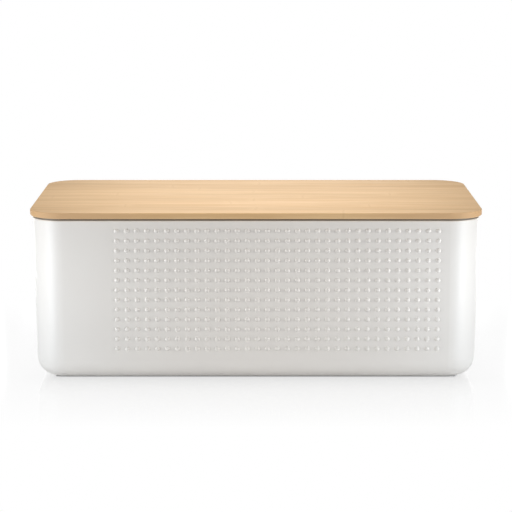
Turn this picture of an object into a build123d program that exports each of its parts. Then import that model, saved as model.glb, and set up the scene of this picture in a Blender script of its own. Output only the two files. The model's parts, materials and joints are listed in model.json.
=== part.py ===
"""Bread box: a white moulded tub with a dotted front, and a lift-off lid of glued bamboo staves.

Millimetres. The origin is on the floor under the middle of the box, +Z is up, +X runs along the box,
and the dotted front faces -Y.
"""

import os
from math import radians, tan

from build123d import *

# Tub: sizes outside, at the rim
TUB_LENGTH = 448.8
TUB_DEPTH = 240.8
TUB_HEIGHT = 162.0
TUB_CORNER_RADIUS = 31.4
TUB_BASE_RADIUS = 20.0
DRAFT_DEGREES = 0.95
WALL = 3.0
FLOOR = 3.2
RIM_OUTER_RADIUS = 0.8
RIM_INNER_RADIUS = 0.6

# Raised dots on the flat of the front, with the field's margins to the middle of its outer dots
DOT_PITCH = 10.0
DOT_DIAMETER = 5.0
DOT_HEIGHT = 1.5
DOT_ROOT = 0.8
DOT_LEFT_MARGIN = 54.0
DOT_RIGHT_MARGIN = 11.7
DOT_TOP_MARGIN = 10.1
DOT_BASE_MARGIN = 11.8

# Feet under the tub
FOOT_DIAMETER = 16.0
FOOT_THICKNESS = 2.0
FOOT_RECESS = 1.0
FOOT_SIDE_CLEARANCE = 0.2
FOOT_EDGE_RADIUS = 0.6
FOOT_INSET = 15.0

# Lid: two plies of bamboo staves and a seal
LID_OVERHANG = 2.6
UPPER_PLY = 6.2
LOWER_PLY = 6.0
UPPER_STAVES = 12
LOWER_STAVES = 11
LID_TOP_EDGE_RADIUS = 0.9
LID_UNDER_EDGE_RADIUS = 1.3
LOWER_PLY_EDGE_RADIUS = 1.2
MOUTH_CLEARANCE = 1.0
SEAL_THICKNESS = 2.0
SEAL_SETBACK = 1.0
SEAL_FIT_CLEARANCE = 0.1

# Levels, from the floor up
BASE_LEVEL = FOOT_THICKNESS - FOOT_RECESS
FLOOR_LEVEL = BASE_LEVEL + FLOOR
RIM_LEVEL = BASE_LEVEL + TUB_HEIGHT
UPPER_PLY_LEVEL = RIM_LEVEL + SEAL_THICKNESS
LOWER_PLY_LEVEL = UPPER_PLY_LEVEL - LOWER_PLY

# Draft of the tub walls, as a run in for each millimetre down
DRAFT = tan(radians(DRAFT_DEGREES))


def rim_outline(inset):
    """Rounded rectangle of the rim, moved inwards by inset."""
    return RectangleRounded(
        TUB_LENGTH - 2 * inset, TUB_DEPTH - 2 * inset, TUB_CORNER_RADIUS - inset
    )


def plate(inset, level, thickness):
    """Flat plate with the rim's outline moved inwards by inset."""
    return extrude(Pos(0, 0, level) * rim_outline(inset), amount=thickness)


def lowest_edges(solid):
    """Edges of a solid that lie in its lowest level."""
    return solid.edges().group_by(Axis.Z)[0]


def highest_edges(solid):
    """Edges of a solid that lie in its highest level."""
    return solid.edges().group_by(Axis.Z)[-1]


def drafted_form(inset, base_level, base_radius):
    """Solid that tapers down from the rim, with its base edge rounded."""
    rim = Plane(origin=(0, 0, RIM_LEVEL), x_dir=(1, 0, 0), z_dir=(0, 0, -1))
    form = extrude(rim * rim_outline(inset), amount=RIM_LEVEL - base_level, taper=DRAFT_DEGREES)
    return fillet(lowest_edges(form), base_radius)


def foot_places():
    """Name and centre of each foot, set in from the edge of the flat base."""
    edge = TUB_HEIGHT * DRAFT + TUB_BASE_RADIUS + FOOT_INSET
    x = TUB_LENGTH / 2 - edge
    y = TUB_DEPTH / 2 - edge
    return {
        "foot_front_left": (-x, -y),
        "foot_front_right": (x, -y),
        "foot_rear_left": (-x, y),
        "foot_rear_right": (x, y),
    }


def make_dot():
    """One raised dot along +Z: a spherical cap on a short root that sinks into the wall."""
    radius = DOT_DIAMETER / 2
    sphere_radius = (radius**2 + DOT_HEIGHT**2) / (2 * DOT_HEIGHT)
    cap = Pos(0, 0, DOT_HEIGHT - sphere_radius) * Sphere(sphere_radius)
    core = Pos(0, 0, -DOT_ROOT) * extrude(Circle(radius), amount=DOT_ROOT + DOT_HEIGHT)
    return cap & core


def dot_places():
    """Places of the dots on the drafted front wall, facing out of it."""
    outward = Vector(0, -1, -DRAFT)
    flat_length = TUB_LENGTH - 2 * TUB_CORNER_RADIUS
    flat_height = TUB_HEIGHT - TUB_BASE_RADIUS
    columns = 1 + int((flat_length - DOT_LEFT_MARGIN - DOT_RIGHT_MARGIN) / DOT_PITCH)
    rows = 1 + int((flat_height - DOT_TOP_MARGIN - DOT_BASE_MARGIN) / DOT_PITCH)
    last_x = flat_length / 2 - DOT_RIGHT_MARGIN
    places = []
    for row in range(rows):
        drop = DOT_TOP_MARGIN + row * DOT_PITCH
        y = -TUB_DEPTH / 2 + drop * DRAFT
        for column in range(columns):
            point = (last_x - column * DOT_PITCH, y, RIM_LEVEL - drop)
            places.append(Plane(origin=point, x_dir=(1, 0, 0), z_dir=outward))
    return places


def make_tub():
    """Hollow drafted box with a rounded rim, recesses for the feet and the dots of its front."""
    outside = drafted_form(0, BASE_LEVEL, TUB_BASE_RADIUS)
    outside = fillet(highest_edges(outside), RIM_OUTER_RADIUS)
    inside = drafted_form(WALL, FLOOR_LEVEL, TUB_BASE_RADIUS - WALL)
    shell = (outside - inside).solid()
    mouth = shell.faces().sort_by(Axis.Z)[-1].inner_wires()[0]
    shell = shell.fillet(RIM_INNER_RADIUS, mouth.edges())

    recess = extrude(Circle(FOOT_DIAMETER / 2 + FOOT_SIDE_CLEARANCE), amount=FOOT_RECESS).solid()
    recesses = [Pos(x, y, BASE_LEVEL) * recess for x, y in foot_places().values()]
    shell = shell.cut(*recesses)

    dot = make_dot().solid()
    dots = [place * dot for place in dot_places()]
    return shell.fuse(*dots)


def make_foot(x, y):
    """Soft round pad that fills a recess of the base and stands proud of it."""
    pad = extrude(Pos(x, y, 0) * Circle(FOOT_DIAMETER / 2), amount=FOOT_THICKNESS)
    return fillet(lowest_edges(pad), FOOT_EDGE_RADIUS)


def make_upper_ply():
    """Upper ply of the lid, uncut, which overhangs the rim all round."""
    board = plate(-LID_OVERHANG, UPPER_PLY_LEVEL, UPPER_PLY)
    board = fillet(highest_edges(board), LID_TOP_EDGE_RADIUS)
    return fillet(lowest_edges(board), LID_UNDER_EDGE_RADIUS)


def make_lower_ply():
    """Lower ply of the lid, uncut, which drops into the mouth of the tub."""
    board = plate(WALL + MOUTH_CLEARANCE, LOWER_PLY_LEVEL, LOWER_PLY)
    return fillet(lowest_edges(board), LOWER_PLY_EDGE_RADIUS)


def cut_staves(board, count):
    """Cut a board into equal staves that run along X, from front to back."""
    size = board.bounding_box()
    width = size.size.Y / count
    staves = []
    for index in range(count):
        middle = Vector(0, size.min.Y + (index + 0.5) * width, (size.min.Z + size.max.Z) / 2)
        strip = Pos(middle) * Box(size.size.X, width, size.size.Z)
        staves.append(board & strip)
    return staves


def make_seal():
    """Ring round the lower ply that keeps the upper ply off the rim."""
    ring = plate(SEAL_SETBACK, RIM_LEVEL, SEAL_THICKNESS)
    return ring - plate(WALL + MOUTH_CLEARANCE - SEAL_FIT_CLEARANCE, RIM_LEVEL, SEAL_THICKNESS)


def make_pieces():
    """Every piece of the bread box, by node name."""
    pieces = {"tub": make_tub(), "lid_seal": make_seal()}
    for name, (x, y) in foot_places().items():
        pieces[name] = make_foot(x, y)
    for index, stave in enumerate(cut_staves(make_upper_ply(), UPPER_STAVES), start=1):
        pieces[f"upper_stave_{index:02d}"] = stave
    for index, stave in enumerate(cut_staves(make_lower_ply(), LOWER_STAVES), start=1):
        pieces[f"lower_stave_{index:02d}"] = stave
    return pieces


os.makedirs("parts", exist_ok=True)
for node, shape in make_pieces().items():
    export_step(shape, f"parts/{node}.step")
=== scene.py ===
"""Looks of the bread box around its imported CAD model: materials, floor, studio light and camera.

Metres, in the frame of the CAD model: +X runs along the box, the dotted front faces -Y, +Z is up.
"""

import json
import math
import random

import bpy
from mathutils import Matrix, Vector


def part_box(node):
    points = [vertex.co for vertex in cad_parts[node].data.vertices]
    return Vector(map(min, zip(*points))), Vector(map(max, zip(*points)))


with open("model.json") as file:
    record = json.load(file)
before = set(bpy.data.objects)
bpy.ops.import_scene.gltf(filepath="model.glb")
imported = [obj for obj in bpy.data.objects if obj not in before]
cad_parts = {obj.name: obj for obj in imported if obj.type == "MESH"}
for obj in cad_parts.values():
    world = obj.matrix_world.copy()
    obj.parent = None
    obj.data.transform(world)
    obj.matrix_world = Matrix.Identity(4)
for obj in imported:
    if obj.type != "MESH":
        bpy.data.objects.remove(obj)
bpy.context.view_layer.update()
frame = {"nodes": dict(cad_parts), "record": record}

# Camera: where it looks, from how far and how high, its sensor and lens in millimetres, and how near
# and how far it sees
CAMERA_TARGET = Vector((0.0, 0.0, 0.1069))
CAMERA_DISTANCE = 2.1752
CAMERA_ELEVATION = math.radians(9.80)
CAMERA_SENSOR = 36.0
CAMERA_LENS = 145.22
CAMERA_CLIP = (0.05, 60.0)

# Floor: its size and half the size of the box's foot. Each reach is a distance from that foot.
FLOOR_SIZE = 30.0
FOOTPRINT = (0.201, 0.097)

# Floor colour at the foot of the box and further out
FLOOR_NEAR = (0.80, 0.80, 0.80, 1.0)
FLOOR_FAR = (0.30, 0.30, 0.30, 1.0)
FLOOR_NEAR_REACH = 0.10
FLOOR_ROUGHNESS = 0.6

# Plain white of the floor where it is seen: none in the contact line, nearly all in the shade beside it,
# all further out
CONTACT_REACH = 0.004
FLOOR_WHITE = 0.955
FLOOR_SHADE_REACH = 0.06

# Reflection in the floor: its strength at the foot of the box, where it ends, and how blurred it is
FLOOR_MIRROR = 0.27
FLOOR_MIRROR_REACH = 0.21
FLOOR_MIRROR_ROUGHNESS = 0.12

# Light: what the room gives and how it looks where it is seen, colours of the lamps, and what two of them
# aim at
AMBIENT = (0.165, 0.159, 0.153, 1.0)
WHITE = (1.0, 1.0, 1.0, 1.0)
WARM = (1.0, 0.97, 0.94)
COOL = (0.87, 0.935, 1.0)
NEUTRAL = (1.0, 1.0, 1.0)
LID_MIDDLE = (0.0, 0.0, 0.17)

# Softboxes, with size as width and height, and spotlights, with the whole angle of the cone in degrees and
# the radius of the lamp. Power is in watts. Each lamp of the pairs stands at the right of the box, and its
# mirror image at the left.
SOFTBOXES = {
    "sheen": dict(place=(0.0, 1.2, 0.55), aim=LID_MIDDLE, size=(0.5, 0.5), power=2.7),
    "back": dict(place=(0.0, 1.3, 0.09), aim=(0.0, 0.1, 0.09), size=(0.8, 0.14), power=3.0),
}
SOFTBOX_PAIRS = {
    "near": dict(
        place=(0.40, -0.29, 0.07), aim=(0.15, -0.12, 0.06), size=(0.10, 0.14), power=0.54, colour=COOL
    ),
    "back_side": dict(place=(0.42, 0.36, 0.07), aim=(0.2, 0.1, 0.07), size=(0.25, 0.12), power=0.4),
}
SPOTS = {
    "top": dict(place=(0.0, -0.10, 2.7), aim=LID_MIDDLE, cone=17.5, radius=0.10, power=172.0),
    "front": dict(
        place=(0.0, -1.6, 0.60), aim=(0.0, -0.12, 0.13), cone=18.0, radius=0.15, power=11.7, colour=WARM
    ),
}
SPOT_PAIRS = {
    "far": dict(
        place=(2.0, -0.80, 0.35), aim=(-0.05, -0.12, 0.125), cone=9.8, radius=0.05, power=69.0, colour=WARM
    ),
}

# Colours of the pieces
PLASTIC = (0.875, 0.842, 0.80)
BAMBOO_TONES = {
    "bamboo_pale": (0.875, 0.605, 0.340),
    "bamboo_honey": (0.850, 0.580, 0.320),
    "bamboo_tan": (0.820, 0.555, 0.303),
}
# Seal silicone: the seal is a real piece, and its dark colour is painted shade of the narrow gap under the
# lid
SILICONE_AND_GAP_SHADE = (0.16, 0.135, 0.105)
FOOT_RUBBER = (0.42, 0.41, 0.39)

# Plastic and rubber: repeats of the mottle and of the grain per metre, darkest share of the mottle,
# roughness and gloss, and height and strength of the grain
PLASTIC_MOTTLE = 9.0
PLASTIC_GRAIN = 2600.0
PLASTIC_DARK = 0.985
PLASTIC_ROUGHNESS = (0.42, 0.50)
PLASTIC_SPECULAR = 0.6
PLASTIC_BUMP = (0.00002, 0.35)
RUBBER_MOTTLE = 300.0
RUBBER_GRAIN = 1800.0
RUBBER_DARK = 0.85
RUBBER_ROUGHNESS = (0.5, 0.65)
RUBBER_BUMP = (0.00003, 0.3)

# Bamboo grain: repeats per metre along the stave and across it, and how far the grain of one stave may be
# moved from that of another
CLOUD_GRAIN = (4.5, 95.0, 95.0)
STREAK_GRAIN = (9.0, 520.0, 520.0)
FIBRE_GRAIN = (35.0, 2600.0, 2600.0)
BUNDLE_GRAIN = (24.0, 1300.0, 1300.0)
PORE_GRAIN = (300.0, 1000.0, 1000.0)
WANDER_GRAIN = (0.0, 120.0, 120.0)
GRAIN_SHIFT = 40.0

# Bamboo shades: factors on the red, green and blue of a stave's tone
CLOUD_DARK = (0.88, 0.86, 0.825)
CLOUD_PALE = (1.10, 1.11, 1.12)
FIBRE_DARK = (0.82, 0.74, 0.62)
KNOT_PALE = (1.03, 1.04, 1.03)
KNOT_DARK = (0.62, 0.50, 0.38)
GLUE_DARK = (0.70, 0.60, 0.48)
# Painted shade on the long edges of the lid, towards its corners
EDGE_PAINTED_SHADE = (0.84, 0.79, 0.78)
END_DARK = (0.86, 0.80, 0.76)
PORE_DARK = (0.55, 0.44, 0.34)

# Bamboo marks: the stretch of a noise over which each one comes up or fades, and its full strength
CLOUD_SPAN = (0.33, 0.67)
STREAK_SPAN = (0.40, 0.76)
STREAK_STRENGTH = 0.60
FIBRE_SPAN = (0.55, 0.75)
FIBRE_STRENGTH = 0.25
BUNDLE_SPAN = (0.62, 0.72)
BUNDLE_STRENGTH = 0.45
PORE_SPAN = (0.22, 0.42)
PORE_STRENGTH = 0.6

# Bamboo knots: spacing along a stave, how far they wander across its width, over what distance from a knot
# its pale stretch and its dark line fade, their full strength, and how deep the line lies in the grain
KNOT_SPACING = (0.24, 0.34)
KNOT_WANDER = 0.003
KNOT_PALE_SPAN = (0.002, 0.012)
KNOT_PALE_STRENGTH = 0.25
KNOT_DARK_SPAN = (0.0004, 0.0016)
KNOT_DARK_STRENGTH = 0.12
KNOT_GROOVE = 0.8

# Bamboo glue lines: width on each stave, and strength. Painted shade on the long edges of the lid: how far
# from its middle it starts and where it is darkest.
GLUE_LINE = 0.00025
GLUE_STRENGTH = 0.5
EDGE_SHADE_SPAN = (0.06, 0.20)

# How far a bamboo face has to turn up or down, to the front or back, or to an end, to count as that
FLAT_TURN = (0.97, 0.99)
SIDE_TURN = (0.40, 0.70)
END_TURN = (0.55, 0.85)

# Bamboo finish: roughness and gloss, and height and strength of the grain
BAMBOO_ROUGHNESS = (0.55, 0.68)
BAMBOO_SPECULAR = 0.1
BAMBOO_BUMP = (0.00006, 0.4)

# The middle stretch of a noise, which holds most of its values
NOISE_SPAN = (0.3, 0.7)

# Sockets of the colour Mix node and of the Mix Shader node
MIX_FACTOR, MIX_FIRST, MIX_SECOND, MIX_RESULT = 0, 6, 7, 2
SHADER_FIRST, SHADER_SECOND = 1, 2


def shaded(colour, *factors):
    """A colour with its channels multiplied, as a node colour."""
    if len(factors) == 1:
        factors = factors * len(colour)
    return tuple(min(c * f, 1.0) for c, f in zip(colour, factors)) + (1.0,)


class Nodes:
    """A node tree, emptied, and short calls that add nodes to it."""

    def __init__(self, tree):
        self.tree = tree
        self.tree.nodes.clear()

    def add(self, kind, **settings):
        node = self.tree.nodes.new(kind)
        for key, value in settings.items():
            setattr(node, key, value)
        return node

    def link(self, source, target):
        self.tree.links.new(source, target)

    def feed(self, socket, value):
        """Links an output to a socket, or sets a plain value on it."""
        if isinstance(value, bpy.types.NodeSocket):
            self.link(value, socket)
        else:
            socket.default_value = value

    def place(self):
        """Place on the piece, in metres."""
        return self.add("ShaderNodeTexCoord").outputs["Object"]

    def facing(self):
        """The way the surface faces, in the axes of the piece."""
        return self.add("ShaderNodeTexCoord").outputs["Normal"]

    def axes(self, vector):
        """The three parts of a vector."""
        node = self.add("ShaderNodeSeparateXYZ")
        self.link(vector, node.inputs["Vector"])
        return node.outputs["X"], node.outputs["Y"], node.outputs["Z"]

    def stretched(self, vector, scale, offset):
        """A place with its axes scaled, and then moved by an offset."""
        node = self.add("ShaderNodeMapping")
        self.link(vector, node.inputs["Vector"])
        node.inputs["Scale"].default_value = scale
        node.inputs["Location"].default_value = offset
        return node.outputs["Vector"]

    def noise(self, vector, scale=1.0, detail=2.0, roughness=0.5):
        node = self.add("ShaderNodeTexNoise")
        self.link(vector, node.inputs["Vector"])
        node.inputs["Scale"].default_value = scale
        node.inputs["Detail"].default_value = detail
        node.inputs["Roughness"].default_value = roughness
        return node.outputs["Fac"]

    def cells(self, vector):
        """Distance from the middle of the nearest cell, in cells."""
        node = self.add("ShaderNodeTexVoronoi")
        self.link(vector, node.inputs["Vector"])
        node.inputs["Scale"].default_value = 1.0
        return node.outputs["Distance"]

    def remap(self, value, low, high, to_low=0.0, to_high=1.0, smooth=False):
        """A value mapped from one range to another, and clamped."""
        node = self.add("ShaderNodeMapRange", clamp=True)
        node.interpolation_type = "SMOOTHSTEP" if smooth else "LINEAR"
        self.feed(node.inputs["Value"], value)
        node.inputs["From Min"].default_value = low
        node.inputs["From Max"].default_value = high
        node.inputs["To Min"].default_value = to_low
        node.inputs["To Max"].default_value = to_high
        return node.outputs["Result"]

    def maths(self, operation, first, second=0.0):
        node = self.add("ShaderNodeMath", operation=operation)
        self.feed(node.inputs[0], first)
        self.feed(node.inputs[1], second)
        return node.outputs["Value"]

    def mix(self, factor, first, second):
        """Mixes two colours."""
        node = self.add("ShaderNodeMix", data_type="RGBA")
        self.feed(node.inputs[MIX_FACTOR], factor)
        self.feed(node.inputs[MIX_FIRST], first)
        self.feed(node.inputs[MIX_SECOND], second)
        return node.outputs[MIX_RESULT]

    def mix_shaders(self, factor, first, second):
        """Mixes the outputs of two shaders."""
        node = self.add("ShaderNodeMixShader")
        self.link(factor, node.inputs["Fac"])
        self.link(first, node.inputs[SHADER_FIRST])
        self.link(second, node.inputs[SHADER_SECOND])
        return node.outputs["Shader"]

    def seen(self):
        """1 where a ray comes from the camera, a reflection or through glass, and 0 where it only lights."""
        path = self.add("ShaderNodeLightPath")
        total = self.maths("ADD", path.outputs["Is Camera Ray"], path.outputs["Is Glossy Ray"])
        total = self.maths("ADD", total, path.outputs["Is Transmission Ray"])
        return self.maths("MINIMUM", total, 1.0)


class Material(Nodes):
    """A node material with a Principled shader."""

    def __init__(self, name):
        self.material = bpy.data.materials.new(name)
        self.material.use_nodes = True
        super().__init__(self.material.node_tree)
        self.output = self.add("ShaderNodeOutputMaterial")
        self.shader = self.add("ShaderNodeBsdfPrincipled")
        self.link(self.shader.outputs["BSDF"], self.output.inputs["Surface"])

    def paint(self, **sockets):
        """Feeds sockets of the shader, named with underscores for spaces."""
        for name, value in sockets.items():
            self.feed(self.shader.inputs[name.replace("_", " ")], value)

    def bump(self, height, distance, strength):
        node = self.add("ShaderNodeBump")
        self.link(height, node.inputs["Height"])
        node.inputs["Distance"].default_value = distance
        node.inputs["Strength"].default_value = strength
        self.link(node.outputs["Normal"], self.shader.inputs["Normal"])


def plastic_material():
    """White moulded plastic with a fine satin grain."""
    m = Material("tub_plastic")
    place = m.place()
    mottle = m.noise(place, scale=PLASTIC_MOTTLE, detail=3.0)
    grain = m.noise(place, scale=PLASTIC_GRAIN)
    m.paint(
        Base_Color=m.mix(m.remap(mottle, *NOISE_SPAN), shaded(PLASTIC, PLASTIC_DARK), shaded(PLASTIC, 1.0)),
        Roughness=m.remap(grain, *NOISE_SPAN, *PLASTIC_ROUGHNESS),
        Specular_IOR_Level=PLASTIC_SPECULAR,
    )
    m.bump(grain, *PLASTIC_BUMP)
    return m.material


def rubber_material(name, colour):
    """Soft matt rubber or silicone with a faint mottle."""
    m = Material(name)
    place = m.place()
    mottle = m.noise(place, scale=RUBBER_MOTTLE, detail=3.0)
    m.paint(
        Base_Color=m.mix(mottle, shaded(colour, RUBBER_DARK), shaded(colour, 1.0)),
        Roughness=m.remap(mottle, *NOISE_SPAN, *RUBBER_ROUGHNESS),
    )
    m.bump(m.noise(place, scale=RUBBER_GRAIN), *RUBBER_BUMP)
    return m.material


def bamboo_material(node, tone, seed):
    """One bamboo stave: fibres along X, knots across it, glue lines beside it, end grain at its ends."""
    draw = random.Random(seed)
    shift = [draw.uniform(-GRAIN_SHIFT, GRAIN_SHIFT) for axis in "xyz"]
    knot_spacing = draw.uniform(*KNOT_SPACING)
    first_knot = draw.uniform(0.0, knot_spacing)
    m = Material(node)
    place = m.place()
    x, y = m.axes(place)[:2]
    turn_x, turn_y, turn_z = [m.maths("ABSOLUTE", part) for part in m.axes(m.facing())]

    # Slow changes of tone, streaks a millimetre or two wide, fine fibres and dark bundles of fibres
    cloud = m.noise(m.stretched(place, CLOUD_GRAIN, shift), detail=5.0, roughness=0.7)
    streak = m.noise(m.stretched(place, STREAK_GRAIN, shift), detail=3.0, roughness=0.6)
    fibre = m.noise(m.stretched(place, FIBRE_GRAIN, shift))
    bundle = m.noise(m.stretched(place, BUNDLE_GRAIN, shift[::-1]), detail=1.0)
    dark = shaded(tone, *FIBRE_DARK)
    colour = m.mix(m.remap(cloud, *CLOUD_SPAN), shaded(tone, *CLOUD_DARK), shaded(tone, *CLOUD_PALE))
    colour = m.mix(m.remap(streak, *STREAK_SPAN, 0.0, STREAK_STRENGTH), colour, dark)
    colour = m.mix(m.remap(fibre, *FIBRE_SPAN, 0.0, FIBRE_STRENGTH), colour, dark)
    colour = m.mix(m.remap(bundle, *BUNDLE_SPAN, 0.0, BUNDLE_STRENGTH), colour, dark)

    # Knots: thin dark lines across the stave in a paler stretch
    wander = m.noise(m.stretched(place, WANDER_GRAIN, shift))
    along = m.maths("ADD", x, first_knot)
    along = m.maths("ADD", along, m.remap(wander, 0.0, 1.0, -KNOT_WANDER, KNOT_WANDER))
    from_knot = m.maths("PINGPONG", along, knot_spacing / 2)
    pale = m.remap(from_knot, *KNOT_PALE_SPAN, KNOT_PALE_STRENGTH, 0.0, smooth=True)
    knot = m.remap(from_knot, *KNOT_DARK_SPAN, KNOT_DARK_STRENGTH, 0.0, smooth=True)
    colour = m.mix(pale, colour, shaded(tone, *KNOT_PALE))
    colour = m.mix(knot, colour, shaded(tone, *KNOT_DARK))

    # Glue lines where the stave meets its neighbours, on the flat faces only
    low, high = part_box(node)
    from_middle = m.maths("ABSOLUTE", m.maths("SUBTRACT", y, (low.y + high.y) / 2))
    from_side = m.maths("SUBTRACT", (high.y - low.y) / 2, from_middle)
    glue = m.remap(from_side, 0.0, GLUE_LINE, GLUE_STRENGTH, 0.0)
    glue = m.maths("MULTIPLY", glue, m.remap(turn_z, *FLAT_TURN))
    colour = m.mix(glue, colour, shaded(tone, *GLUE_DARK))

    # Painted shade: long edges a little darker towards the corners
    edge = m.remap(turn_y, *SIDE_TURN, smooth=True)
    edge = m.maths("MULTIPLY", edge, m.remap(m.maths("ABSOLUTE", x), *EDGE_SHADE_SPAN, smooth=True))
    colour = m.mix(edge, colour, shaded(tone, *EDGE_PAINTED_SHADE))

    # End grain: darker, with the bundles cut across
    pores = m.remap(m.cells(m.stretched(place, PORE_GRAIN, shift)), *PORE_SPAN, PORE_STRENGTH, 0.0)
    cut = m.mix(pores, shaded(tone, *END_DARK), shaded(tone, *PORE_DARK))
    colour = m.mix(m.remap(turn_x, *END_TURN, smooth=True), colour, cut)

    m.paint(
        Base_Color=colour,
        Roughness=m.remap(streak, *NOISE_SPAN, *BAMBOO_ROUGHNESS),
        Specular_IOR_Level=BAMBOO_SPECULAR,
    )
    m.bump(m.maths("SUBTRACT", fibre, m.maths("MULTIPLY", knot, KNOT_GROOVE)), *BAMBOO_BUMP)
    return m.material


def dress(node, material):
    """Puts one material on a CAD node."""
    for slot in frame["nodes"][node].material_slots:
        slot.material = material


def dress_all():
    """Puts on every CAD node the material of its slot in the record."""
    finishes = {
        "tub_plastic": plastic_material(),
        "seal_silicone": rubber_material("seal_silicone", SILICONE_AND_GAP_SHADE),
        "foot_rubber": rubber_material("foot_rubber", FOOT_RUBBER),
    }
    for seed, part in enumerate(frame["record"]["subparts"]):
        node, slot = part["node"], part["material_slot"]
        if slot in BAMBOO_TONES:
            dress(node, bamboo_material(node, BAMBOO_TONES[slot], seed))
        else:
            dress(node, finishes[slot])


def from_footprint(m):
    """Distance on the floor from the foot of the box."""
    squares = []
    for along, half in zip(m.axes(m.place()), FOOTPRINT):
        outside = m.maths("SUBTRACT", m.maths("ABSOLUTE", along), half)
        outside = m.maths("MAXIMUM", outside, 0.0)
        squares.append(m.maths("MULTIPLY", outside, outside))
    return m.maths("SQRT", m.maths("ADD", *squares))


def floor_material():
    """Pale floor that keeps the box's shadow and a faint reflection, plain white away from the box."""
    m = Material("floor")
    distance = from_footprint(m)
    seen = m.seen()
    far = m.remap(distance, 0.0, FLOOR_NEAR_REACH, smooth=True)
    m.paint(
        Base_Color=m.mix(far, FLOOR_NEAR, FLOOR_FAR),
        Roughness=FLOOR_ROUGHNESS,
        Specular_IOR_Level=0.0,
    )

    # White over the lit floor
    white = m.add("ShaderNodeEmission")
    share = m.remap(distance, 0.0, FLOOR_SHADE_REACH, FLOOR_WHITE, 1.0, smooth=True)
    share = m.maths("MULTIPLY", share, m.remap(distance, 0.0, CONTACT_REACH, smooth=True))
    share = m.maths("MULTIPLY", share, seen)
    whitened = m.mix_shaders(share, m.shader.outputs["BSDF"], white.outputs["Emission"])

    # Reflection over both
    mirror = m.add("ShaderNodeBsdfGlossy")
    mirror.inputs["Roughness"].default_value = FLOOR_MIRROR_ROUGHNESS
    share = m.remap(distance, 0.0, FLOOR_MIRROR_REACH, FLOOR_MIRROR, 0.0)
    share = m.maths("MULTIPLY", share, seen)
    glossed = m.mix_shaders(share, whitened, mirror.outputs["BSDF"])
    m.link(glossed, m.output.inputs["Surface"])
    m.material.cycles.emission_sampling = "NONE"
    return m.material


def build_floor():
    """Floor under the box."""
    bpy.ops.mesh.primitive_plane_add(size=FLOOR_SIZE)
    floor = bpy.context.object
    floor.name = "floor"
    floor.data.materials.append(floor_material())


def build_room():
    """Soft light from all round, and plain white where the room is seen."""
    world = bpy.data.worlds.new("studio")
    bpy.context.scene.world = world
    world.use_nodes = True
    nodes = Nodes(world.node_tree)
    output = nodes.add("ShaderNodeOutputWorld")
    background = nodes.add("ShaderNodeBackground")
    nodes.feed(background.inputs["Color"], nodes.mix(nodes.seen(), AMBIENT, WHITE))
    nodes.link(background.outputs["Background"], output.inputs["Surface"])


def hang(name, lamp, place, aim):
    """Puts a lamp at its place and turns it to what it lights. It doesn't show in the picture."""
    holder = bpy.data.objects.new(name, lamp)
    holder.location = place
    holder.rotation_euler = (Vector(aim) - Vector(place)).to_track_quat("-Z", "Y").to_euler()
    holder.visible_camera = False
    bpy.context.scene.collection.objects.link(holder)


def build_softbox(name, place, aim, size, power, colour=NEUTRAL):
    """One soft lamp with a rectangular face."""
    lamp = bpy.data.lights.new(name, "AREA")
    lamp.shape = "RECTANGLE"
    lamp.size, lamp.size_y = size
    lamp.energy = power
    lamp.color = colour
    hang(name, lamp, place, aim)


def build_spot(name, place, aim, cone, radius, power, colour=NEUTRAL):
    """One spotlight that fades from the middle of its cone to the edge."""
    lamp = bpy.data.lights.new(name, "SPOT")
    lamp.spot_size = math.radians(cone)
    lamp.spot_blend = 1.0
    lamp.shadow_soft_size = radius
    lamp.energy = power
    lamp.color = colour
    hang(name, lamp, place, aim)


def mirrored(lamp):
    """A lamp's values, with its place and aim moved to the other side of the box."""
    turned = {key: (-lamp[key][0], *lamp[key][1:]) for key in ("place", "aim")}
    return {**lamp, **turned}


def build_lamps(build, lamps, pairs):
    """Builds single lamps, and pairs of them at the right and the left."""
    for name, lamp in lamps.items():
        build(name, **lamp)
    for name, lamp in pairs.items():
        build(f"{name}_right", **lamp)
        build(f"{name}_left", **mirrored(lamp))


def build_camera():
    """Camera in front of the box, a little above it."""
    camera = bpy.data.cameras.new("camera")
    camera.sensor_width = CAMERA_SENSOR
    camera.lens = CAMERA_LENS
    camera.clip_start, camera.clip_end = CAMERA_CLIP
    holder = bpy.data.objects.new("camera", camera)
    back = Vector((0.0, -math.cos(CAMERA_ELEVATION), math.sin(CAMERA_ELEVATION)))
    holder.location = CAMERA_TARGET + back * CAMERA_DISTANCE
    holder.rotation_euler = (-back).to_track_quat("-Z", "Y").to_euler()
    bpy.context.scene.collection.objects.link(holder)
    bpy.context.scene.camera = holder


dress_all()
build_floor()
build_room()
build_lamps(build_softbox, SOFTBOXES, SOFTBOX_PAIRS)
build_lamps(build_spot, SPOTS, SPOT_PAIRS)
build_camera()
bpy.context.scene.view_settings.view_transform = "Standard"
